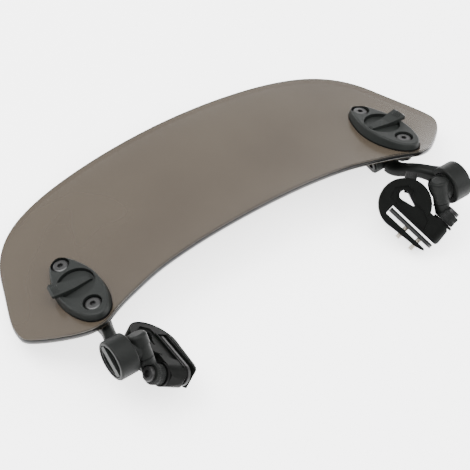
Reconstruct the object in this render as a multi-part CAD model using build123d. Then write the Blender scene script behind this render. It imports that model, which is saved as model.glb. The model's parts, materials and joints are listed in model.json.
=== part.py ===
from build123d import *
import math
import os

# Clip-on windshield extension: a tinted curved screen on two adjustable arms,
# each arm ending in a clamp that slips over the edge of a motorcycle windshield.
# All sizes in millimetres.
#
# The parts are laid out in the screen's own frame: X to the rider's side of the
# screen, Y towards its top edge, Z out of its front face. Everything is then
# set down on its resting points by REST_TURN and REST_LIFT.

# ---------------------------------------------------------------- dimensions
SCREEN_T = 3.2                     # sheet thickness
# front surface  z = -KX x^2 - K4 x^4 + KY y^2 + K3 y^3
KX = 0.924e-3
K4 = 0.346e-8 * -1.0
KY = 0.080e-3
K3 = -1.89 / 50.0 ** 3
SCREEN_TOP = [(0, 43.1), (26, 42.6), (59, 40.4), (91, 35.0), (104, 30.2), (117, 21.2),
              (126, 9.5), (132.3, -5), (138.5, -20), (142.0, -31), (142.6, -38)]
SCREEN_BOTTOM = [(137.4, -47), (129.6, -54.3), (121.3, -60.7), (114, -64.6), (107, -65.3),
                 (99, -62.6), (88.7, -59.3), (77.7, -56.6), (66, -54.2), (52.9, -52.8),
                 (36.4, -51.9), (18, -51.5), (0, -51.4)]

PLATE_AT = (103.9, -35.1)          # centre of the front plate on the screen
PLATE_TWIST = 3.5                  # plate long axis leans this many degrees
PLATE_TOP = 5.8                    # height above the screen
GASKET = 0.9                       # rubber under the plate and behind the screen
SCREW_Y = 17.8                     # plate screws sit at +-SCREW_Y
SCREW_R = 2.5                      # M5
KNOB_R = 10.0
KNOB_WELL_R = 10.5
KNOB_TURN = {1: -3.0, -1: 8.0}     # wing angle as set, right and left

BASE_LOW = -7.0                    # back face of the rear base
SEAT_LOW = -8.0                    # seat ring the foot clamps against
FLOOR_LOW = -10.4                  # floor of the foot
FOOT_LOW = -13.6
PIVOT = (100.3, -43.5, -22.0)      # upper hinge, axis along X
PIVOT_R = 2.5
ARM_TILT = {1: 5.0, -1: -2.8}      # how the two arms are set, down is positive
HEAD_TURN = {1: 0.0, -1: -9.0}    # and their hinge heads, necks and clamps
NECK_TURN = {1: 0.0, -1: 2.5}
CLIP_TURN = {1: 0.0, -1: 18.0}
HUB = (112.4, -86.3, -13.1)        # lower hinge, axis along X
HUB_R = 11.0
HUB_HALF = 5.6
BOLT_R = 3.0
RUN = 0.05                         # radial running clearance

NECK_TOP = (101.0, -86.7, -4.6)    # crown of the hinge head
NECK_DIR = (0.0, -0.34, -0.94)     # down the neck
NECK_R = 4.9

CLIP_AT = (97.0, -97.75, -27.6)     # clamp swivel centre, on the clamp's outer face
CLIP_L = (0.280, -0.858, -0.430)   # from the closed end to the mouth
CLIP_D = (-0.830, 0.009, -0.558)   # from the swivel through the clamp
CLIP_HALF = 6.5                    # half width
SWIVEL_R = 2.5                     # M5 clamp swivel
CLIP_ROUND = (-22.4, 6.4, 15.0)    # closed end: centre and radius
BLOCK_T = 11.4                     # fixed jaw thickness
SLOT = 1.2                         # jaw gap as set
PLATE_T = 2.6                      # moving jaw with its rubber
LEG_IN, LEG_OUT = 17.2, 19.7       # outer leg
SET_AT = (-12.8, -3.0)             # set screws along the clamp
SET_R = 1.5                        # M3

# how it lies at rest: turned about X so the clamps and the top corners touch
REST_RX = -15.6


def surf(x, y):
    return -KX * x * x - K4 * x ** 4 + KY * y * y + K3 * y ** 3


def normal(x, y):
    gx = -2 * KX * x - 4 * K4 * x ** 3
    gy = 2 * KY * y + 3 * K3 * y * y
    return Vector(-gx, -gy, 1).normalized()


def frame(origin, x_dir, z_dir):
    return Plane(origin=origin, x_dir=x_dir, z_dir=z_dir)


def cyl(plane, r, low, high, at=(0, 0)):
    """Cylinder along the plane's normal between two heights."""
    c = Cylinder(r, high - low, align=(Align.CENTER, Align.CENTER, Align.MIN))
    return plane.location * Location((at[0], at[1], low)) * c


def boxed(plane, x0, x1, y0, y1, z0, z1):
    b = Box(x1 - x0, y1 - y0, z1 - z0, align=(Align.MIN,) * 3)
    return plane.location * Location((x0, y0, z0)) * b


def hexed(plane, across, low, high, at=(0, 0), turn=0.0):
    sk = RegularPolygon(across / 2, 6, major_radius=False)
    return plane.location * Location((at[0], at[1], low), (0, 0, turn)) * extrude(sk, high - low)


def soft(shape, picks, r):
    """Round the picked edges if the geometry allows it."""
    try:
        out = fillet(picks(shape), r)
        if out.is_valid and out.volume > 0:
            return out
    except Exception:
        pass
    return shape


# ------------------------------------------------------------------- screen
def screen_face():
    nx, ny = 41, 17
    pts = [[Vector(-155 + 310 * i / (nx - 1), -80 + 140 * j / (ny - 1),
                   surf(-155 + 310 * i / (nx - 1), -80 + 140 * j / (ny - 1)))
            for j in range(ny)] for i in range(nx)]
    face = Face.make_surface_from_array_of_points(pts, tol=1e-3, min_deg=3, max_deg=5)
    if face.normal_at().Z < 0:
        face = -face
    return face


def screen_outline():
    right_top = SCREEN_TOP
    right_bot = SCREEN_BOTTOM
    top = [(-x, y) for x, y in reversed(right_top[1:])] + right_top
    bot = right_bot + [(-x, y) for x, y in reversed(right_bot[:-1])]
    ends = Spline(*[Vector(*p) for p in top + bot], periodic=True)
    return Face(Wire([ends]))


front = screen_face()
sheet = Solid.thicken(front, -SCREEN_T)
outline = screen_outline()
prism = Solid.extrude(outline.moved(Location((0, 0, -60))), Vector(0, 0, 90))
screen = (Part() + sheet) & (Part() + prism)


# ------------------------------------------------------------ leaf outlines
def leaf(scale_x, scale_y):
    half = [(0, 24.4), (5.0, 21.8), (9.0, 14.8), (12.0, 6.0), (13.0, -2.4), (12.2, -11.4),
            (9.6, -19.8), (5.6, -26.0), (0, -28.4)]
    pts = [Vector(x * scale_x, (y + 1.8) * scale_y - 1.8) for x, y in half]
    pts += [Vector(-x * scale_x, (y + 1.8) * scale_y - 1.8) for x, y in reversed(half[1:-1])]
    return Face(Wire([Spline(*pts, periodic=True)]))


def leaf_solid(low, high, s_low=1.0, s_high=1.0, squash=1.0):
    a = leaf(s_low, squash * (s_low * 13.2 + 13.5) / 26.7).moved(Location((0, 0, low)))
    b = leaf(s_high, squash * (s_high * 13.2 + 13.5) / 26.7).moved(Location((0, 0, high)))
    if s_low == s_high:
        return Part() + Solid.extrude(a, Vector(0, 0, high - low))
    return Part() + Solid.make_loft([a.outer_wire(), b.outer_wire()], True)


def put(plane, shape):
    return shape.moved(plane.location)


def slab(lift, depth):
    """Block under the screen's front surface, lifted along the plate normal."""
    n = normal(*PLATE_AT)
    return Part() + Solid.thicken(front, -depth).moved(Location(n * lift))


# --------------------------------------------------------------- right side
def plate_frame():
    n = normal(*PLATE_AT)
    o = Vector(PLATE_AT[0], PLATE_AT[1], surf(*PLATE_AT))
    y = Vector(-math.sin(math.radians(PLATE_TWIST)), math.cos(math.radians(PLATE_TWIST)), 0)
    y = (y - n * y.dot(n)).normalized()
    x = y.cross(n)
    return frame(o, x, n)


PF = plate_frame()
HUBX = Plane(origin=HUB, x_dir=(0, 1, 0), z_dir=(1, 0, 0))          # normal +X
PIVX = Plane(origin=PIVOT, x_dir=(0, 1, 0), z_dir=(1, 0, 0))
_nd = Vector(*NECK_DIR).normalized()
NECK = Plane(origin=NECK_TOP, x_dir=(1, 0, 0), z_dir=_nd)            # z runs down
_L = Vector(*CLIP_L).normalized()
_D = Vector(*CLIP_D)
_D = (_D - _L * _D.dot(_L)).normalized()
CLIP = Plane(origin=CLIP_AT, x_dir=_L, z_dir=_D)                     # z into the clamp
# profile plane: x along L, y along D, normal = L x D
PROF = Plane(origin=CLIP_AT, x_dir=_L, z_dir=_L.cross(_D))


def tooth_ring(x_face, toward, r_in, r_out, count=24, body=1.0, tooth=0.7):
    """Flat ring on the hub axis with radial teeth facing `toward` (+1 or -1 in X)."""
    lo, hi = sorted((x_face, x_face - toward * body))
    pl = Plane(origin=(0, HUB[1], HUB[2]), x_dir=(0, 1, 0), z_dir=(1, 0, 0))
    ring = cyl(pl, r_out, lo, hi) - cyl(pl, r_in, lo - 1, hi + 1)
    for k in range(count):
        a = 360.0 / count * k
        t = Box(r_out - r_in - 0.4, 0.62, tooth + 0.2,
                align=(Align.MIN, Align.CENTER, Align.MIN if toward > 0 else Align.MAX))
        at = pl.location * Location((0, 0, x_face - toward * 0.2), (0, 0, a)) * Location((r_in + 0.2, 0, 0))
        ring += at * t
    return ring


def build_side(side):
    """Parts for the right side; the left side is their mirror image."""
    n = {}
    # ---- front plate, drafted leaf with wells for the knob and the screws
    base = Plane.XY
    plate = leaf_solid(-2.0, PLATE_TOP, 1.04, 0.91)
    plate = soft(plate, lambda s: s.faces().sort_by(Axis.Z)[-1].edges(), 1.2)
    plate -= cyl(base, KNOB_WELL_R, 2.6, 12)
    plate -= cyl(base, 5.4, 1.8, 3.0)
    plate -= cyl(base, 3.22, -5, 12)
    for sy in (SCREW_Y, -SCREW_Y):
        plate -= cyl(base, 5.25, 2.7, 12, (0, sy))
        plate -= cyl(base, SCREW_R + 0.25, -5, 12, (0, sy))
    n["front_plate"] = put(PF, plate) - slab(GASKET, 14)

    def drilled(shape):
        shape -= cyl(PF, 3.6, -30, 30)
        for sy in (SCREW_Y, -SCREW_Y):
            shape -= cyl(PF, SCREW_R + 0.4, -30, 30, (0, sy))
        return shape

    gasket = (put(PF, leaf_solid(-2.2, 3.0, 1.0, 1.0)) & slab(GASKET, 2.4)) - slab(0.0, 6.0)
    n["plate_gasket"] = drilled(gasket)
    rear = (put(PF, leaf_solid(-6.0, -0.5, 0.90, 0.90, 0.94)) & slab(-SCREEN_T, GASKET)) - sheet
    n["rear_gasket"] = drilled(rear)

    # ---- rear base: leaf plate with a round seat for the foot
    rb = leaf_solid(BASE_LOW, -2.0, 0.82, 0.88, 0.92)
    rb += cyl(base, 9.6, SEAT_LOW, BASE_LOW)
    rb -= cyl(base, 3.22, -20, 12)
    for sy in (SCREW_Y, -SCREW_Y):
        rb -= cyl(base, SCREW_R + 0.1, -30, 12, (0, sy))
        rb -= hexed(base, 8.1, -10.5, -6.1, (0, sy))
    n["rear_base"] = (put(PF, rb) & slab(-SCREEN_T - GASKET, 12)) - rear

    # ---- plate screws and captive nuts
    scr, nuts = [], []
    for sy in (SCREW_Y, -SCREW_Y):
        head = cyl(base, 4.75, 2.7, 5.0, (0, sy))
        head = soft(head, lambda s: s.faces().sort_by(Axis.Z)[-1].edges(), 1.6)
        s = head + cyl(base, SCREW_R, -8.6, 2.7, (0, sy))
        s -= hexed(base, 3.0, 3.4, 9, (0, sy), 15)
        scr.append(put(PF, s))
        nut = hexed(base, 8.0, -8.4, -6.1, (0, sy)) - cyl(base, SCREW_R + 0.005, -12, 0, (0, sy))
        nuts.append(put(PF, nut))
    n["plate_screws"] = scr
    n["plate_nuts"] = nuts

    # ---- knob: round body scooped on both sides of a rising wing
    kp = Plane(origin=(0, 0, 0), x_dir=(math.cos(math.radians(KNOB_TURN[side])),
                                         math.sin(math.radians(KNOB_TURN[side])), 0), z_dir=(0, 0, 1))
    disc = cyl(base, KNOB_R, 2.9, 4.0)
    blade = Polyline((-8.8, 2.9), (-8.8, 4.8), (-7.6, 5.5), (3, 6.4), (9, 7.8), (13.4, 8.7),
                     (14.7, 8.1), (14.6, 6.9), (10.6, 6.1), (9.6, 5.9), (9.2, 2.9), close=True)
    blade = extrude(Plane.XZ * make_face(blade), 6.0, both=True)
    plan = Polyline((-9.2, -1.4), (-9.2, 1.4), (0, 2.9), (9, 4.3), (13.2, 4.8), (15.0, 3.4),
                    (15.0, -3.4), (13.2, -4.8), (9, -4.3), (0, -2.9), close=True)
    plan = extrude(make_face(plan), 14)
    wing = (blade & plan) - (boxed(base, -20, 20, -20, 20, 0, 6.1) - cyl(base, KNOB_R, 0, 6.1))
    wing = soft(wing, lambda s: s.edges().filter_by(lambda e: e.center().Z > 4.6 and e.length > 2.0), 0.6)
    knob = disc + wing
    knob += cyl(base, 3.15, 2.0, 2.95) + cyl(base, 4.4, 2.9, 4.0)
    knob -= cyl(base, 2.0, 1.0, 5.2)
    n["release_knob"] = put(PF, kp.location * knob)

    # ---- knob shaft with a T head that locks behind the foot's floor
    shaft = cyl(base, 2.0, -10.0, 5.2) + cyl(base, 3.15, -10.8, 2.0)
    shaft += boxed(base, -4.7, 4.7, -1.7, 1.7, -12.5, -10.7) & cyl(base, 4.7, -14, -10)
    n["knob_shaft"] = put(PF, kp.location * shaft)
    n["knob_washer"] = put(PF, cyl(base, 5.2, 1.8, 2.5) - cyl(base, 3.5, -5, 5))

    # ---- foot: round shoe under the base, slotted for the T head, with clevis ears
    foot = cyl(PF, 9.8, FOOT_LOW, SEAT_LOW)
    ears = []
    for x0, x1 in ((PIVOT[0] - 9.4, PIVOT[0] - 5.6), (PIVOT[0] + 5.6, PIVOT[0] + 9.1)):
        lo, hi = x0 - PIVOT[0], x1 - PIVOT[0]
        ear = cyl(PIVX, 4.9, lo, hi)
        web = Polyline((PIVOT[1] + 1.0, PIVOT[2] - 4.8), (PIVOT[1] + 14, -24.6), (PIVOT[1] + 14, -18.0),
                       (PIVOT[1] + 1.0, PIVOT[2] + 4.8), close=True)
        face = make_face(Plane(origin=(x0, 0, 0), x_dir=(0, 1, 0), z_dir=(1, 0, 0)) * web)
        ears.append(ear + extrude(face, x1 - x0, dir=(1, 0, 0)))
    bridge = Polyline((PIVOT[1] + 7.4, -24.8), (PIVOT[1] + 15, -24.6), (PIVOT[1] + 15, -18.0),
                      (PIVOT[1] + 7.4, -18.0), close=True)
    bridge = extrude(make_face(Plane(origin=(PIVOT[0] - 9.1, 0, 0), x_dir=(0, 1, 0), z_dir=(1, 0, 0)) * bridge),
                     18.2, dir=(1, 0, 0))
    foot = foot + ears[0] + ears[1] + bridge
    foot -= cyl(PIVX, 5.9, -5.6, 5.6)                # room for the arm's eye
    foot -= cyl(PIVX, 4.6, 9.1, 20) + cyl(PIVX, 4.6, -20, -9.4)
    foot -= cyl(PIVX, 3.5, -10, -7.9)
    foot -= cyl(PF, 30, SEAT_LOW, 5)                 # nothing above the seat
    foot -= cyl(PF, 3.22, -20, 0)
    foot -= cyl(PF, 5.2, -30, FLOOR_LOW)             # room behind the floor
    slot = boxed(base, -5.0, 5.0, -2.0, 2.0, -12, -7)
    foot -= put(PF, Location((0, 0, 0), (0, 0, 90)) * slot)
    foot -= cyl(PIVX, PIVOT_R, -30, 30)
    n["foot"] = foot

    bolt = cyl(PIVX, PIVOT_R, -9.0, 11.6) + cyl(PIVX, 3.4, -10.3, -7.9)
    bolt -= hexed(PIVX, 3.0, -13, -9.0)
    n["pivot_bolt"] = bolt
    nut = hexed(PIVX, 7.4, 9.1, 12.2) - cyl(PIVX, PIVOT_R, 8, 14)
    n["pivot_nut"] = nut

    # ---- arm: eye, curved beam, hub
    eye = cyl(PIVX, 4.8, -5.3, 5.3)
    path = [((100.3, -48.0, -22.6), 10.0, 7.4), ((101.6, -54.3, -22.5), 8.6, 6.6),
            ((104.3, -61.8, -18.5), 7.2, 7.2), ((107.9, -71.0, -15.2), 7.2, 8.4),
            ((111.6, -78.6, -13.5), 8.6, 10.4)]
    secs = []
    for i, (p, w, h) in enumerate(path):
        a = Vector(*path[max(i - 1, 0)][0])
        b = Vector(*path[min(i + 1, len(path) - 1)][0])
        t = (b - a).normalized()
        pl = Plane(origin=p, x_dir=Vector(0, 0, 1).cross(t), z_dir=t)
        secs.append(pl * RectangleRounded(w, h, min(w, h) * 0.36))
    beam = loft(secs)
    hubc = cyl(HUBX, HUB_R, -HUB_HALF, HUB_HALF)
    hubc = soft(hubc, lambda s: s.edges().filter_by(GeomType.CIRCLE), 1.0)
    arm = eye + beam + hubc
    arm -= cyl(PIVX, PIVOT_R + RUN, -30, 30)
    arm -= cyl(HUBX, 9.1, HUB_HALF - 3.2, HUB_HALF + 5)          # knob well
    arm -= cyl(HUBX, BOLT_R + RUN, -30, 30)
    arm -= cyl(HUBX, 8.2, -HUB_HALF - 5, -HUB_HALF + 2.4)        # ratchet seat
    n["arm"] = arm
    x_in = HUB[0] - HUB_HALF
    n["arm_ratchet"] = tooth_ring(x_in + 1.4, -1, 3.4, 8.2)

    # ---- lock knob in the hub, with a raised grip bar, and its bolt
    lk = cyl(base, 8.8, HUB_HALF - 2.9, HUB_HALF - 1.7)
    bar = boxed(base, -8.7, 8.7, -2.1, 2.1, HUB_HALF - 2.0, HUB_HALF + 0.1) & cyl(base, 8.6, 0, 20)
    rim = cyl(base, 8.8, HUB_HALF - 1.8, HUB_HALF - 0.5) - cyl(base, 7.9, 0, 20)
    lk = lk + rim + Location((0, 0, 0), (0, 0, 41)) * bar
    lk -= hexed(base, 5.5, HUB_HALF - 3.5, HUB_HALF - 1.2)
    n["lock_knob"] = HUBX.location * lk
    hb = cyl(HUBX, BOLT_R, -10.4, HUB_HALF - 2.95) + hexed(HUBX, 5.4, HUB_HALF - 3.0, HUB_HALF - 1.25)
    n["hinge_bolt"] = hb

    # ---- hinge head: crowned barrel beside the hub, boss with the mating teeth
    cap = cyl(NECK, NECK_R + 0.4, 0, 6.3)
    cap = soft(cap, lambda s: s.edges().filter_by(GeomType.CIRCLE).sort_by(Axis.Z)[-1:], 1.8)
    barrel = cyl(NECK, NECK_R - 0.2, 6.3, 13.5)
    boss = cyl(HUBX, 7.6, -11.2, -6.6) - cyl(NECK, 30, 13.5, 40) - cyl(NECK, 30, -30, 1.2)
    disc2 = cyl(HUBX, 7.6, -6.6, -5.9)
    head = cap + barrel + boss + disc2
    head -= cyl(HUBX, 7.9, -5.9, 8)
    spigot = cyl(NECK, 2.6, 13.0, 16.9) - (cyl(NECK, 5, 14.3, 16.2) - cyl(NECK, 1.5, 14, 17))
    head += spigot
    head -= cyl(HUBX, BOLT_R + RUN, -10.8, 0)
    n["hinge_head"] = head
    n["head_ratchet"] = tooth_ring(x_in + 0.2, 1, 3.4, 7.6, body=0.5, tooth=0.3)

    # ---- neck: turns on the head's spigot and carries the clamp swivel at its foot
    neck = cyl(NECK, NECK_R - 0.4, 13.9, 24.4)
    neck = soft(neck, lambda s: s.edges().filter_by(GeomType.CIRCLE).sort_by(Axis.Z)[:1], 1.6)
    neck = neck + cyl(CLIP, 5.3, -7.7, -1.7)
    neck -= boxed(CLIP, -30, 30, -30, 30, -1.7, 30)
    neck -= cyl(NECK, 2.6 + RUN, 13.0, 17.2)
    neck -= cyl(CLIP, SWIVEL_R + RUN, -20, 5)
    neck -= cyl(CLIP, 4.5, -20, -7.7)
    PIN = Plane(origin=NECK.origin + NECK.z_dir * 15.25, x_dir=NECK.z_dir, z_dir=(1, 0, 0))
    pin = cyl(PIN, 0.65, -4.1, 4.1, (0, 2.45))
    neck -= pin
    n["swivel_neck"] = neck
    n["neck_pin"] = pin
    n["swivel_flange"] = cyl(CLIP, 6.3, -1.4, 0.0) - cyl(CLIP, SWIVEL_R, -20, 5)

    # ---- clamp body: round closed end, thick jaw, thin outer leg
    cx, ct, cr = CLIP_ROUND
    w = CLIP_HALF
    prof = PROF.location * Location((cx, ct, -w)) * Cylinder(cr, 2 * w, align=(Align.CENTER, Align.CENTER, Align.MIN))
    legs = Polyline((cx, 0.0), (3.6, 0.0), (5.2, 1.4), (6.2, BLOCK_T - 1.6), (5.0, BLOCK_T), (-1.0, LEG_IN),
                    (-1.0, LEG_OUT), (cx, LEG_OUT + 1.6), close=True)
    body = prof + extrude(PROF * make_face(legs), w, both=True)
    # jaw slot and the room behind the moving jaw
    gap = Polyline((-27.0, BLOCK_T), (5.0, BLOCK_T), (20, BLOCK_T), (20, LEG_IN), (-27.0, LEG_IN), close=True)
    body -= extrude(PROF * make_face(gap), w + 1, both=True)
    leg = Polyline((-22.4, LEG_IN), (2.0, LEG_IN), (3.0, LEG_IN + 0.8), (2.4, LEG_OUT - 1.2), (0.6, LEG_OUT - 0.5),
                   (-22.4, LEG_OUT + 1.6), close=True)
    body += extrude(PROF * make_face(leg), w, both=True)
    # rounded mouth end seen square to the jaws
    body &= boxed(CLIP, -60, -0.4, -w, w, -30, 40) + cyl(CLIP, w, -30, 40, (-0.4, 0))
    # weight-saving teardrop and sunk web on both flanks
    tear = PROF.location * (Location((-26.4, 3.0, -10)) * Cylinder(2.7, 20, align=(Align.CENTER, Align.CENTER, Align.MIN)))
    tri = Polyline((-26.0, 0.35), (-18.0, 3.1), (-18.0, 3.9), (-25.6, 5.6), close=True)
    body -= tear + extrude(PROF * make_face(tri), 10, both=True)
    web = Polyline((-22.4, 1.9), (-12, 1.9), (-6.5, 4.5), (-4.5, 9.9), (-24.5, 9.9), (-31.5, 9.0), (-33.2, 3.2), (-28.5, -2.6), (-23.5, -2.6), close=True)
    webf = extrude(PROF * make_face(web), w + 1, both=True) - extrude(PROF * make_face(web), w - 0.8, both=True)
    ringw = PROF.location * (Location((-26.4, 3.0, -10)) * Cylinder(3.9, 20, align=(Align.CENTER, Align.CENTER, Align.MIN)))
    body -= webf - ringw
    body -= cyl(CLIP, SWIVEL_R, -5, 10)
    body -= hexed(CLIP, 8.1, 6.6, 20) & cyl(CLIP, 10, 6.4, BLOCK_T + 0.1)
    for s in SET_AT:
        body -= cyl(CLIP, SET_R + 0.6, LEG_IN - 1, LEG_OUT + 4, (s, 0))
    # lock screw seat at the closed end, aimed at the round's centre
    u = Vector(-30.6 - cx, -7.5 - ct, 0).normalized()
    o3 = PROF.location * Location((cx, ct, 2.2))
    so = o3.position
    sdir = (PROF.x_dir * u.X + PROF.y_dir * u.Y).normalized()
    SCR = Plane(origin=so, x_dir=PROF.z_dir, z_dir=sdir)
    body -= cyl(SCR, 2.0, 6.0, 30)
    body -= cyl(SCR, 3.7, 14.0, 30)
    n["clip_body"] = body
    ls = cyl(SCR, 2.0, 6.4, 14.2) + cyl(SCR, 3.5, 14.0, 18.4)
    for k in range(20):
        g = Cylinder(0.28, 6, align=(Align.CENTER, Align.CENTER, Align.MIN))
        a = math.radians(18 * k)
        ls -= SCR.location * (Location((3.55 * math.cos(a), 3.55 * math.sin(a), 14.8)) * g)
    ls -= hexed(SCR, 3.0, 16.2, 20)
    n["clip_lock_screw"] = ls
    inserts = []
    for s in SET_AT:
        inserts.append(cyl(CLIP, SET_R + 0.6, LEG_IN, LEG_OUT - 0.2, (s, 0)) - cyl(CLIP, SET_R + RUN, 0, 40, (s, 0)))
    n["set_screw_inserts"] = inserts

    pad = boxed(CLIP, -25.5, 4.6, -w + 0.5, w - 0.5, BLOCK_T - 0.9, BLOCK_T) & (
        boxed(CLIP, -60, -0.4, -w + 0.5, w - 0.5, -1, 40) + cyl(CLIP, w - 0.5, -1, 40, (-0.8, 0)))
    n["clip_body"] -= pad
    n["clip_pad"] = pad

    # ---- clamp swivel bolt and its nut
    pb = cyl(CLIP, 4.0, -10.2, -8.0)
    pb = soft(pb, lambda s: s.edges().filter_by(GeomType.CIRCLE).filter_by(
        lambda e: (e.center() - CLIP.origin).dot(CLIP.z_dir) < -10), 0.6)
    pb = pb + cyl(CLIP, SWIVEL_R, -8.4, 9.2)
    pb -= hexed(CLIP, 4.0, -14, -8.9)
    n["swivel_bolt"] = pb
    n["swivel_nut"] = hexed(CLIP, 8.0, 6.6, 9.3) - cyl(CLIP, SWIVEL_R, 5, 10)

    # ---- moving jaw, its rubber and the set screws that drive it
    t0 = BLOCK_T + SLOT
    outline2 = boxed(CLIP, -26.4, -1.2, -w + 0.6, w - 0.6, t0, t0 + PLATE_T) + cyl(CLIP, w - 0.6, t0, t0 + PLATE_T, (-1.2, 0))
    rub = outline2 & boxed(CLIP, -60, 30, -20, 20, t0, t0 + 1.0)
    met = outline2 & boxed(CLIP, -60, 30, -20, 20, t0 + 1.0, t0 + PLATE_T)
    sets = []
    for s in SET_AT:
        met -= cyl(CLIP, SET_R + 0.35, t0 + PLATE_T - 0.8, 40, (s, 0))
        ss = cyl(CLIP, SET_R, t0 + PLATE_T - 0.5, 23.2, (s, 0))
        ss = soft(ss, lambda q: q.edges().filter_by(GeomType.CIRCLE), 0.3)
        ss -= hexed(CLIP, 1.5, 21.4, 30, (s, 0))
        sets.append(ss)
    n["moving_jaw"] = met
    n["moving_jaw_rubber"] = rub
    n["set_screws"] = sets
    return n


ARM = ["arm", "arm_ratchet", "lock_knob", "hinge_bolt"]
HEAD = ["hinge_head", "head_ratchet"]
SWIVEL = ["swivel_neck", "neck_pin"]
CLAMP = ["swivel_flange", "clip_body", "clip_lock_screw", "set_screw_inserts", "clip_pad",
         "swivel_bolt", "swivel_nut", "moving_jaw", "moving_jaw_rubber", "set_screws"]


SHARED = ["plate_screws", "plate_nuts", "pivot_bolt", "pivot_nut", "knob_washer"]


def turn(origin, z_dir, degrees):
    """Rotation about an axis through origin."""
    p = Plane(origin=origin, z_dir=z_dir).location
    return p * Location((0, 0, 0), (0, 0, degrees)) * p.inverse()


def pose(side, name):
    """How far each joint of one arm has been turned from the symmetric layout."""
    at = Location((0, 0, 0))
    if name in ARM + HEAD + SWIVEL + CLAMP:
        at = at * turn(PIVOT, (1, 0, 0), ARM_TILT[side])
    if name in HEAD + SWIVEL + CLAMP:
        at = at * turn(HUB, (1, 0, 0), HEAD_TURN[side])
    if name in SWIVEL + CLAMP:
        at = at * turn(NECK_TOP, tuple(NECK.z_dir), NECK_TURN[side])
    if name in CLAMP:
        at = at * turn(CLIP_AT, tuple(CLIP.z_dir), CLIP_TURN[side])
    return at


def rest_place(solids):
    """Turn to the resting attitude, then put the box's bottom centre at the origin."""
    tip = Location((0, 0, 0), (REST_RX, 0, 0))
    boxes = [q.moved(tip).bounding_box() for q in solids]
    low = Vector(min(b.min.X for b in boxes), min(b.min.Y for b in boxes), min(b.min.Z for b in boxes))
    high = Vector(max(b.max.X for b in boxes), max(b.max.Y for b in boxes), 0)
    return Location((-(low.X + high.X) / 2, -(low.Y + high.Y) / 2, -low.Z)) * tip


def main():
    os.makedirs("parts", exist_ok=True)
    nodes = {}
    body = screen
    for side in (1, -1):
        tag = "right_" if side > 0 else "left_"
        n = build_side(side)
        holes = cyl(PF, 3.6, -12, 12)
        for sy in (SCREW_Y, -SCREW_Y):
            holes += cyl(PF, SCREW_R + 0.4, -12, 12, (0, sy))
        body = body - (holes if side > 0 else holes.mirror(Plane.YZ))
        for name, shape in n.items():
            group = shape if isinstance(shape, list) else [shape]
            out = []
            for g in group:
                for s in g.solids():
                    s = s.moved(pose(side, name))
                    if side < 0:
                        s = s.mirror(Plane.YZ)
                    out.append(s)
            if name in SHARED:       # identical fasteners share one node
                key = name if name.endswith("s") else name + "s"
                nodes.setdefault(key, []).extend(out)
            else:
                nodes[tag + name] = out
    nodes["screen"] = list(body.solids())
    place = rest_place([q for group in nodes.values() for q in group])
    for name, solids in nodes.items():
        solids = [q.moved(place) for q in solids]
        nodes[name] = solids
        shape = solids[0] if len(solids) == 1 else Compound(children=solids)
        export_step(shape, os.path.join("parts", name + ".step"))
    return nodes, place


if __name__ == "__main__":
    main()
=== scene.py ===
import bpy
import bmesh
import json
import math
from mathutils import Matrix, Vector


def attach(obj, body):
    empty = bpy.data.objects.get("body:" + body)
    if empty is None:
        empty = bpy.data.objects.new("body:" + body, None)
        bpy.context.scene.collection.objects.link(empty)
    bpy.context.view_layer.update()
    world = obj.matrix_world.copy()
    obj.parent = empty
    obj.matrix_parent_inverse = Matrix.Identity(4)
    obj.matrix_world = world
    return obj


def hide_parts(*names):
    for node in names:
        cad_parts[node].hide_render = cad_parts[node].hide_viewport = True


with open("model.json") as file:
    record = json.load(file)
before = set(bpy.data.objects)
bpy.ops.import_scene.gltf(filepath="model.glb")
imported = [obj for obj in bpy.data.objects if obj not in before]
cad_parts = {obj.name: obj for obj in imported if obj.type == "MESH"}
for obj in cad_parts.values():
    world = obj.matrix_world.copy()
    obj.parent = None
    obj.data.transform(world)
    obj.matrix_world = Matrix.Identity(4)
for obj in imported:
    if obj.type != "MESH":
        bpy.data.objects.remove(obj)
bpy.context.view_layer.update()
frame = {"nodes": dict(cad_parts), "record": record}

nodes = frame["nodes"]
SLOT_OF = {s["node"]: s["material_slot"] for s in frame["record"]["subparts"]}

# Placements of the hardware in the row frame, in millimetres: axes as columns, then the point.
AT = {
    "right_PF": [[0.98236, -0.06977, 0.17348, 103.83805], [0.01025, 0.94649, 0.32257, -1.50666], [-0.1867, -0.3151, 0.93051, 21.80441]],
    "right_HUB": [[0.0, 0.0, 1.0, 112.33805], [0.98294, 0.18395, 0.0, -53.57428], [-0.18395, 0.98294, 0.0, 27.98929]],
    "right_NECK": [[1.0, 0.0, 0.0, 100.93805], [0.0, -0.86176, -0.50732, -52.40387], [0.0, 0.50732, -0.86176, 36.41782]],
    "right_CLIP": [[0.28008, -0.48268, -0.82981, 96.93805], [-0.9227, -0.37388, -0.09395, -67.49619], [-0.2649, 0.79198, -0.55009, 15.84297]],
    "right_NECKCLIP": [[0.28008, -0.48268, -0.82981, 96.93805], [-0.9227, -0.37388, -0.09395, -67.49619], [-0.2649, 0.79198, -0.55009, 15.84297]],
    "left_PF": [[-0.98236, 0.06977, -0.17348, -103.96195], [0.01025, 0.94649, 0.32257, -1.50666], [-0.1867, -0.3151, 0.93051, 21.80441]],
    "left_HUB": [[0.0, 0.0, -1.0, -112.46195], [0.94888, 0.31565, 0.0, -50.94443], [-0.31565, 0.94888, 0.0, 33.32282]],
    "left_NECK": [[-1.0, 0.0, 0.0, -101.06195], [0.0, -0.67835, -0.73474, -47.38786], [0.0, 0.73474, -0.67835, 41.05333]],
    "left_CLIP": [[-0.07993, 0.56621, 0.82037, -96.95374], [-0.9557, 0.19037, -0.22451, -67.6628], [0.2833, 0.80197, -0.52591, 25.58879]],
    "left_NECKCLIP": [[-0.25099, 0.5138, 0.82037, -96.95374], [-0.96775, -0.11427, -0.22451, -67.6628], [0.02161, 0.85027, -0.52591, 25.58879]],
}
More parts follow.
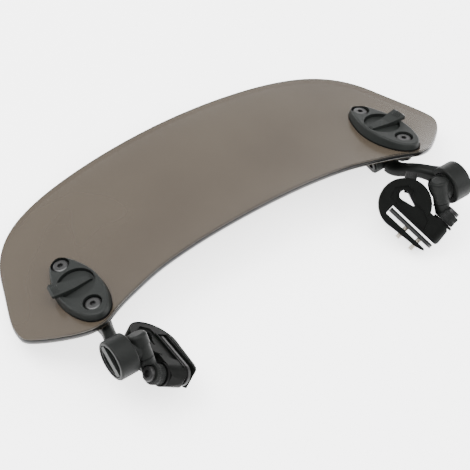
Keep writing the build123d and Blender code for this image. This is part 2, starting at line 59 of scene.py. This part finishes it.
G = Matrix(((1, 0, 0, -0.061951), (0, 0.963163, 0.26892, 34.67199), (0, -0.26892, 0.963163, 20.859607), (0, 0, 0, 1)))


def place(key):
    return Matrix([list(r) for r in AT[key]] + [[0, 0, 0, 1]])


# ------------------------------------------------------------------ materials
def material(name, base, rough, metallic=0.0, coat=0.0, vary=0.12, scale=180.0, bump=0.06, alpha=1.0, spec=0.5):
    m = bpy.data.materials.new(name)
    m.use_nodes = True
    nt = m.node_tree
    b = nt.nodes["Principled BSDF"]
    tc = nt.nodes.new("ShaderNodeTexCoord")
    n = nt.nodes.new("ShaderNodeTexNoise")
    n.inputs["Scale"].default_value = scale
    n.inputs["Detail"].default_value = 4.0
    nt.links.new(tc.outputs["Object"], n.inputs["Vector"])
    ramp = nt.nodes.new("ShaderNodeValToRGB")
    lo = [c * (1 - vary) for c in base]
    hi = [min(1.0, c * (1 + vary)) for c in base]
    ramp.color_ramp.elements[0].position = 0.3
    ramp.color_ramp.elements[0].color = (*lo, 1)
    ramp.color_ramp.elements[1].position = 0.7
    ramp.color_ramp.elements[1].color = (*hi, 1)
    nt.links.new(n.outputs["Fac"], ramp.inputs["Fac"])
    nt.links.new(ramp.outputs["Color"], b.inputs["Base Color"])
    mr = nt.nodes.new("ShaderNodeMapRange")
    mr.inputs["To Min"].default_value = max(0.02, rough - 0.05)
    mr.inputs["To Max"].default_value = min(1.0, rough + 0.05)
    nt.links.new(n.outputs["Fac"], mr.inputs["Value"])
    nt.links.new(mr.outputs["Result"], b.inputs["Roughness"])
    if bump:
        n2 = nt.nodes.new("ShaderNodeTexNoise")
        n2.inputs["Scale"].default_value = 2600.0
        n2.inputs["Detail"].default_value = 2.0
        nt.links.new(tc.outputs["Object"], n2.inputs["Vector"])
        bp = nt.nodes.new("ShaderNodeBump")
        bp.inputs["Strength"].default_value = bump
        bp.inputs["Distance"].default_value = 0.0002
        nt.links.new(n2.outputs["Fac"], bp.inputs["Height"])
        nt.links.new(bp.outputs["Normal"], b.inputs["Normal"])
    b.inputs["Metallic"].default_value = metallic
    b.inputs["Coat Weight"].default_value = coat
    b.inputs["Coat Roughness"].default_value = 0.08
    b.inputs["Specular IOR Level"].default_value = spec
    b.inputs["Alpha"].default_value = alpha
    return m


MATS = {
    "dark_plastic": material("dark_plastic", (0.0085, 0.0098, 0.0090), 0.50, spec=0.16),
    "knob_plastic": material("knob_plastic", (0.0085, 0.0098, 0.0090), 0.50, spec=0.16),
    "hinge_plastic": material("hinge_plastic", (0.0060, 0.0066, 0.0062), 0.48, spec=0.10),
    "clamp_plastic": material("clamp_plastic", (0.0030, 0.0033, 0.0030), 0.44, spec=0.04),
    "black_plastic": material("black_plastic", (0.0020, 0.0020, 0.0020), 0.5, spec=0.04),
    "rubber": material("rubber", (0.0035, 0.0035, 0.0035), 0.7, bump=0.2, spec=0.04),
    "steel": material("steel", (0.62, 0.58, 0.52), 0.28, metallic=1.0, bump=0.0, vary=0.08),
    "dark_steel": material("dark_steel", (0.012, 0.012, 0.012), 0.40, metallic=0.3, bump=0.03, spec=0.3),
    "brass": material("brass", (0.60, 0.45, 0.20), 0.32, metallic=1.0, bump=0.0),
    "dark_edge": material("dark_edge", (0.004, 0.004, 0.0035), 0.25, coat=0.1, bump=0.0, spec=0.25),
    "screw_black": material("screw_black", (0.010, 0.010, 0.010), 0.34, metallic=0.0, spec=0.5),
}


def smoke_sheet():
    """Tinted sheet: brown-grey body with a slow change of tone across it."""
    m = bpy.data.materials.new("tinted_sheet")
    m.use_nodes = True
    nt = m.node_tree
    b = nt.nodes["Principled BSDF"]
    tc = nt.nodes.new("ShaderNodeTexCoord")
    n = nt.nodes.new("ShaderNodeTexNoise")
    n.inputs["Scale"].default_value = 14.0
    n.inputs["Detail"].default_value = 2.0
    nt.links.new(tc.outputs["Object"], n.inputs["Vector"])
    ramp = nt.nodes.new("ShaderNodeValToRGB")
    ramp.color_ramp.elements[0].position = 0.35
    ramp.color_ramp.elements[0].color = (0.046, 0.036, 0.026, 1)
    ramp.color_ramp.elements[1].position = 0.65
    ramp.color_ramp.elements[1].color = (0.054, 0.043, 0.031, 1)
    nt.links.new(n.outputs["Fac"], ramp.inputs["Fac"])
    nt.links.new(ramp.outputs["Color"], b.inputs["Base Color"])
    b.inputs["Roughness"].default_value = 0.22
    b.inputs["Specular IOR Level"].default_value = 0.40
    b.inputs["Alpha"].default_value = 0.93
    m.surface_render_method = "DITHERED"
    return m


MATS["tinted_sheet"] = smoke_sheet()

for name, obj in nodes.items():
    slot = SLOT_OF[name]
    obj.data.materials.clear()
    obj.data.materials.append(MATS["screw_black" if name == "plate_screws" else slot])


# ------------------------------------------------------------- mesh helpers
def mesh_object(name, verts, faces, mat, body, smooth=True):
    me = bpy.data.meshes.new(name)
    me.from_pydata([tuple(Vector(v) * 0.001) for v in verts], [], faces)
    me.validate()
    bm = bmesh.new()
    bm.from_mesh(me)
    bmesh.ops.recalc_face_normals(bm, faces=bm.faces)
    bm.to_mesh(me)
    bm.free()
    for p in me.polygons:
        p.use_smooth = smooth
    o = bpy.data.objects.new(name, me)
    bpy.context.scene.collection.objects.link(o)
    o.data.materials.append(MATS[mat] if isinstance(mat, str) else mat)
    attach(o, body)
    return o


def revolve(profile, matrix, seg=48, helix=None):
    """Closed surface from a (radius, height) profile about the local z axis."""
    verts, faces = [], []
    n = len(profile)
    for j in range(seg):
        a = 2 * math.pi * j / seg
        for i, (r, z) in enumerate(profile):
            rr = r if helix is None else helix(r, z, a)
            verts.append(matrix @ Vector((rr * math.cos(a), rr * math.sin(a), z)))
    for j in range(seg):
        k = (j + 1) % seg
        for i in range(n - 1):
            faces.append((j * n + i, k * n + i, k * n + i + 1, j * n + i + 1))
    a0, a1 = len(verts), len(verts) + 1
    verts += [matrix @ Vector((0, 0, profile[0][1])), matrix @ Vector((0, 0, profile[-1][1]))]
    for j in range(seg):
        k = (j + 1) % seg
        faces.append((j * n, a0, k * n))
        faces.append((j * n + n - 1, k * n + n - 1, a1))
    return verts, faces


def merge(parts):
    verts, faces = [], []
    for v, f in parts:
        k = len(verts)
        verts += list(v)
        faces += [tuple(i + k for i in q) for q in f]
    return verts, faces


def rod(path, radius, matrix, seg=10, flat=1.0):
    """Rounded bead along a path of local points; flat squeezes it along local z."""
    pts = [Vector(p) for p in path]
    verts, faces = [], []
    for i, p in enumerate(pts):
        t = (pts[min(i + 1, len(pts) - 1)] - pts[max(i - 1, 0)]).normalized()
        side = t.cross(Vector((0, 0, 1))).normalized()
        up = side.cross(t).normalized()
        end = radius * (0.45 if i in (0, len(pts) - 1) else 1.0)
        for j in range(seg):
            a = 2 * math.pi * j / seg
            verts.append(matrix @ (p + side * (end * math.cos(a)) + up * (end * flat * math.sin(a))))
    for i in range(len(pts) - 1):
        for j in range(seg):
            k = (j + 1) % seg
            faces.append((i * seg + j, i * seg + k, (i + 1) * seg + k, (i + 1) * seg + j))
    faces.append(tuple(range(seg)))
    faces.append(tuple((len(pts) - 1) * seg + j for j in reversed(range(seg))))
    return verts, faces


def smooth_path(points, steps=8, closed=False):
    """Catmull-Rom through the points."""
    p = [Vector(q) for q in points]
    out = []
    n = len(p)
    for i in range(n if closed else n - 1):
        a = p[(i - 1) % n] if closed or i > 0 else p[i]
        b, c = p[i], p[(i + 1) % n]
        d = p[(i + 2) % n] if closed or i + 2 < n else c
        for s in range(steps):
            t = s / steps
            out.append(0.5 * ((2 * b) + (c - a) * t + (2 * a - 5 * b + 4 * c - d) * t * t + (3 * b - a - 3 * c + d) * t ** 3))
    if not closed:
        out.append(p[-1])
    return out


# -------------------------------------------------------------- set screws
SET_AT = (-12.8, -3.0)
for side in ("right", "left"):
    m = place(side + "_CLIP")
    parts = []
    for s in SET_AT:
        local = m @ Matrix.Translation((s, 0, 0))
        prof = [(0.9, 14.72)] + [(1.45, 14.9 + 0.06 * i) for i in range(int((23.0 - 14.9) / 0.06))] + [(1.45, 23.0), (1.2, 23.19), (0.88, 23.19), (0.80, 22.2)]

        def helix(r, z, a):
            if r < 1.4:
                return r
            ph = (z / 0.5 - a / (2 * math.pi)) % 1.0
            return 1.22 + 0.26 * (1 - abs(2 * ph - 1))
        parts.append(revolve(prof, local, 40, helix))
    v, f = merge(parts)
    o = mesh_object(side + "_threaded_set_screws", v, f, "steel", side + "_set")
    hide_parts(side + "_set_screws")

# ------------------------------------------------- ribs round the swivel barrel
for side in ("right", "left"):
    m = place(side + "_NECKCLIP")
    parts = []
    for k in range(36):
        a = 2 * math.pi * k / 36
        c = Vector((5.3 * math.cos(a), 5.3 * math.sin(a), 0))
        local = m @ Matrix.Translation(c) @ Matrix.Rotation(a, 4, "Z")
        for z0, z1 in ((-7.5, -5.0), (-4.4, -2.1)):
            prof = [(0.12, z0), (0.24, z0 + 0.25), (0.24, z1 - 0.25), (0.12, z1)]
            parts.append(revolve(prof, local, 8))
    v, f = merge(parts)
    mesh_object(side + "_barrel_ribs", v, f, "hinge_plastic", side + "_neck")

# ------------------------------- raised ridges and hook groove on the clamp flanks
RIDGES = [
    [(-27.5, 9.9), (-24.5, 10.4), (-14, 10.4), (-4, 10.3), (1.8, 10.2)],
    [(-27.6, 18.0), (-24, 18.5), (-14, 18.4), (-6, 18.2), (0.2, 18.0)],
]
for side in ("right", "left"):
    m = place(side + "_CLIP")
    # profile plane: x along the clamp, y through it, z = x cross y
    x, y, o3 = m.col[0].xyz, m.col[2].xyz, m.col[3].xyz
    z = x.cross(y)
    p = Matrix(((x.x, y.x, z.x, o3.x), (x.y, y.y, z.y, o3.y), (x.z, y.z, z.z, o3.z), (0, 0, 0, 1)))
    parts = []
    for sgn in (-1, 1):
        for r in RIDGES:
            path = smooth_path([(a, b, sgn * 6.5) for a, b in r], 6)
            parts.append(rod(path, 0.32, p, 8, 0.9))
        arc = []
        for k in range(40):
            a = math.radians(150 + k * 5.0)
            arc.append((-22.4 + 14.35 * math.cos(a), 6.4 + 14.35 * math.sin(a), sgn * 6.5))
        parts.append(rod(arc, 0.28, p, 8, 0.8))
        hook = smooth_path([(-32.8, 5.0, sgn * 5.72), (-32.2, 7.4, sgn * 5.72), (-30.4, 9.2, sgn * 5.72), (-28.2, 9.9, sgn * 5.72), (-26.4, 9.0, sgn * 5.72)], 6)
        parts.append(rod(hook, 0.45, p, 8, 0.8))
        loop = [(-26.4 + 3.4 * math.cos(math.radians(a)), 3.0 + 3.4 * math.sin(math.radians(a)), sgn * 6.5) for a in range(60, 300, 10)]
        parts.append(rod(loop, 0.3, p, 8, 0.8))
    v, f = merge(parts)
    mesh_object(side + "_clamp_ridges", v, f, "clamp_plastic", side + "_clamp")

# ------------------------------------------- grip lines on the release knob tips
TURN = {"right": -3.0, "left": 8.0}
for side in ("right", "left"):
    m = place(side + "_PF") @ Matrix.Rotation(math.radians(TURN[side]), 4, "Z")
    parts = []
    for k in range(5):
        xx = 9.6 + 0.95 * k
        zz = 7.95 + 0.20 * k + (0.0 if k < 4 else -0.05)
        h = 3.3 - 0.12 * k
        parts.append(rod([(xx, -h, zz - 0.25), (xx, -h * 0.8, zz), (xx, 0, zz + 0.03), (xx, h * 0.8, zz), (xx, h, zz - 0.25)], 0.2, m, 8))
    v, f = merge(parts)
    mesh_object(side + "_knob_grip_lines", v, f, "knob_plastic", side + "_knob")


# --------------------------------------------------- polished edge of the sheet
def edge_bead():
    bm = bmesh.new()
    bm.from_mesh(nodes["screen"].data)
    bmesh.ops.remove_doubles(bm, verts=bm.verts, dist=1e-6)
    bm.normal_update()
    sharp = [e for e in bm.edges if len(e.link_faces) == 2 and e.calc_face_angle(0) > math.radians(50)]
    left = set(sharp)
    loops = []
    while left:
        e = left.pop()
        chain = [e.verts[0], e.verts[1]]
        grow = True
        while grow:
            grow = False
            for q in chain[-1].link_edges:
                if q in left:
                    left.discard(q)
                    chain.append(q.other_vert(chain[-1]))
                    grow = True
                    break
        loops.append([v.co.copy() for v in chain])
    bm.free()
    loops.sort(key=lambda c: -sum((c[i] - c[i - 1]).length for i in range(1, len(c))))
    front, back = loops[0], loops[1]
    if sum(c.z for c in back) / len(back) > sum(c.z for c in front) / len(front):
        front, back = back, front

    def resample(c, n):
        d = [0.0]
        for i in range(1, len(c)):
            d.append(d[-1] + (c[i] - c[i - 1]).length)
        out, j = [], 0
        for k in range(n):
            t = d[-1] * k / n
            while j < len(d) - 2 and d[j + 1] < t:
                j += 1
            w = (t - d[j]) / max(d[j + 1] - d[j], 1e-9)
            out.append(c[j].lerp(c[j + 1], w))
        return out
    n = 720
    f = resample(front, n)
    dense = resample(back, 2400)
    b = [min(dense, key=lambda q: (q - p).length) for p in f]
    cen = sum((p for p in f), Vector()) / n
    verts, faces = [], []
    seg = 10
    for i in range(n):
        t = (f[(i + 1) % n] - f[i - 1]).normalized()
        up = (f[i] - b[i]).normalized()
        out = t.cross(up).normalized()
        if out.dot(f[i] - cen) < 0:
            out = -out
        mid = (f[i] + b[i]) / 2
        half = (f[i] - b[i]).length / 2
        for j in range(seg):
            a = math.pi * (j / (seg - 1) - 0.5)
            verts.append((mid - out * 0.0007 + up * ((half + 0.00006) * math.sin(a)) + out * (0.0011 * math.cos(a))) * 1000)
    for i in range(n):
        k = (i + 1) % n
        for j in range(seg):
            l = (j + 1) % seg
            faces.append((i * seg + j, k * seg + j, k * seg + l, i * seg + l))
    return verts, faces


v, f = edge_bead()
mesh_object("screen_edge", v, f, "dark_edge", "screen_body")

# ---------------------------------------------------------------- floor, light
bpy.ops.mesh.primitive_plane_add(size=12, location=(0, 0, -0.0005))
floor = bpy.context.object
floor.name = "floor"
fm = bpy.data.materials.new("floor")
fm.use_nodes = True
fb = fm.node_tree.nodes["Principled BSDF"]
ft = fm.node_tree.nodes.new("ShaderNodeTexNoise")
ft.inputs["Scale"].default_value = 2.0
fr = fm.node_tree.nodes.new("ShaderNodeValToRGB")
fr.color_ramp.elements[0].color = (0.96, 0.96, 0.96, 1)
fr.color_ramp.elements[1].color = (0.97, 0.97, 0.97, 1)
fm.node_tree.links.new(ft.outputs["Fac"], fr.inputs["Fac"])
fm.node_tree.links.new(fr.outputs["Color"], fb.inputs["Base Color"])
fb.inputs["Roughness"].default_value = 0.9
fb.inputs["Emission Color"].default_value = (1, 1, 1, 1)
fb.inputs["Emission Strength"].default_value = 2.2
fb.inputs["Specular IOR Level"].default_value = 0.1
floor.data.materials.append(fm)

world = bpy.data.worlds.new("studio")
bpy.context.scene.world = world
world.use_nodes = True
world.node_tree.nodes["Background"].inputs["Color"].default_value = (1, 1, 1, 1)
world.node_tree.nodes["Background"].inputs["Strength"].default_value = 1.25


def area(name, loc, target, size, power, size_y=None):
    l = bpy.data.lights.new(name, "AREA")
    l.energy = power
    l.shape = "RECTANGLE"
    l.size = size
    l.size_y = size_y or size
    o = bpy.data.objects.new(name, l)
    bpy.context.scene.collection.objects.link(o)
    o.location = loc
    o.rotation_euler = (Vector(target) - Vector(loc)).to_track_quat("-Z", "Y").to_euler()
    return o


area("key", (-0.5, 0.55, 1.1), (0, 0, 0), 0.9, 22)
area("fill", (0.9, -0.7, 0.7), (0, 0, 0), 0.8, 12)
area("top", (0.0, -0.1, 1.4), (0, 0, 0), 1.4, 26)

# ---------------------------------------------------------------------- camera
cam = bpy.data.cameras.new("camera")
cam_obj = bpy.data.objects.new("camera", cam)
bpy.context.scene.collection.objects.link(cam_obj)
cam.sensor_width = 36.0
cam.lens = 124.305
cam.clip_start = 0.01
cam.clip_end = 50
right = Vector((0.7991985807774727, -0.6004930158020625, -0.026263405266973627))
up = Vector((0.42732414936178564, 0.5369133551075091, 0.7274050594266059))
back = Vector((-0.422700484806322, -0.5925640784591502, 0.6857055585777022))
g3 = G.to_3x3()
r, u, b = g3 @ right, g3 @ up, g3 @ back
loc = (G @ Vector((-385.5525, -572.6412, 593.1700))) * 0.001
cam_obj.matrix_world = Matrix(((r.x, u.x, b.x, loc.x), (r.y, u.y, b.y, loc.y), (r.z, u.z, b.z, loc.z), (0, 0, 0, 1)))
bpy.context.scene.camera = cam_obj
